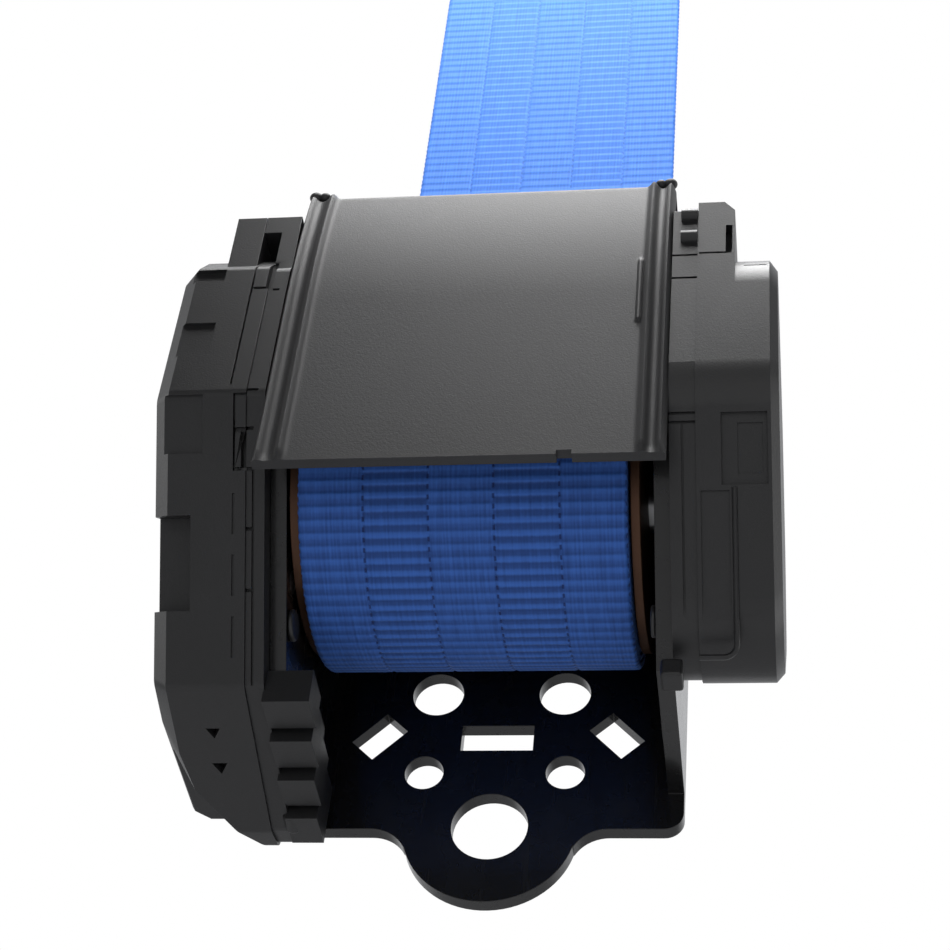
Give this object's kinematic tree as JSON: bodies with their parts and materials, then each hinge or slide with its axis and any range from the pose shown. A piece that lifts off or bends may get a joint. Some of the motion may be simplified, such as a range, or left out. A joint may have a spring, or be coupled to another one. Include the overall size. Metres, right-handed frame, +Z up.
{
  "type": "webbing retractor",
  "caption": "Emergency locking reel for wide belt webbing: steel frame with an anchor tab, plastic housings, curved webbing cover, and a pull-out strap that ends in a bolt plate.",
  "frame": {"origin": "centre of the anchor bolt hole on the front face of the back plate", "axes": "+X to the right across the webbing, +Y towards the wall the part is bolted to, +Z up along the pull of the webbing"},
  "size_m": [0.0917, 0.0612, 0.2914],
  "materials": {
    "black_steel": "gloss",
    "bright_steel": "satin",
    "zinc_steel": "satin",
    "cover_plastic": "matte",
    "black_plastic": "matte",
    "housing_plastic": "satin",
    "bush_plastic": "satin",
    "spring_steel": "satin",
    "spool_plastic": "satin",
    "webbing": "woven"
  },
  "bodies": {
    "root": {"frame_bracket": "black_steel", "tie_bar": "bright_steel", "webbing_cover": "cover_plastic", "webbing_guide": "black_plastic", "bushing_left": "bush_plastic", "bushing_right": "bush_plastic", "sensor_housing_base": "housing_plastic", "sensor_housing_cover": "housing_plastic", "spring_housing_base": "housing_plastic", "spring_housing_cover": "housing_plastic", "housing_push_rivets": "black_plastic", "cover_push_rivets": "black_plastic", "clock_spring": "spring_steel", "ball_cup": "bush_plastic", "pawl_pin": "bright_steel", "pawl_spring": "spring_steel", "webbing_feed": "webbing"},
    "spool": {"spool_drum": "spool_plastic", "torsion_bar": "bright_steel", "ratchet_wheel": "bright_steel", "webbing_roll": "webbing", "webbing_pin": "bright_steel", "spring_arbor": "bush_plastic", "retaining_ring": "spring_steel", "lag_spring": "spring_steel"},
    "lock_ring": {"lock_ring": "bush_plastic"},
    "lock_pawl": {"lock_pawl": "bright_steel"},
    "sensor_ball": {"sensor_ball": "bright_steel"},
    "sensor_lever": {"sensor_lever": "bush_plastic"},
    "webbing_end": {"webbing_run": "webbing", "end_loop": "webbing"},
    "end_plate": {"end_plate": "zinc_steel"}
  },
  "joints": [
    {"name": "spool_spin", "type": "hinge", "parent": "root", "child": "spool", "pos_m": [0, -0.0275, 0.04], "axis": [1, 0, 0], "range_deg": [0, 720], "stiffness_Nm_per_rad": 0.004, "springref_deg": -1432.39, "deforming": ["clock_spring", "webbing_feed"]},
    {"name": "webbing_pull", "type": "slide", "parent": "root", "child": "webbing_end", "axis": [0, 0, 1], "range_m": [0, 0.308], "deforming": ["webbing_run"]},
    {"name": "end_plate_swing", "type": "hinge", "parent": "webbing_end", "child": "end_plate", "pos_m": [0.0012, -0.011, 0.241], "axis": [1, 0, 0], "range_deg": [-25, 25]},
    {"name": "lock_ring_lag", "type": "hinge", "parent": "spool", "child": "lock_ring", "pos_m": [-0.03, -0.0275, 0.04], "axis": [-1, 0, 0], "range_deg": [0, 15], "stiffness_Nm_per_rad": 0.002, "springref_deg": -20.05, "deforming": ["lag_spring"]},
    {"name": "pawl_swing", "type": "hinge", "parent": "root", "child": "lock_pawl", "pos_m": [-0.035, -0.03502, 0.01933], "axis": [-1, 0, 0], "range_deg": [0, 10], "stiffness_Nm_per_rad": 0.002, "springref_deg": -20.05, "deforming": ["pawl_spring"]},
    {"name": "sensor_roll", "type": "slide", "parent": "root", "child": "sensor_ball", "axis": [0, -0.866, 0.5], "range_m": [0, 0.0014]},
    {"name": "sensor_lift", "type": "hinge", "parent": "root", "child": "sensor_lever", "pos_m": [-0.04, -0.0245, 0.018], "axis": [1, 0, 0], "range_deg": [0, 4.5]}
  ],
  "couplings": [
    {"joint": "webbing_pull", "follows": "spool_spin", "m_per_rad": 0.0245},
    {"joint": "pawl_swing", "follows": "lock_ring_lag", "ratio": 0.66},
    {"joint": "sensor_lift", "follows": "sensor_roll", "rad_per_m": 54}
  ]
}
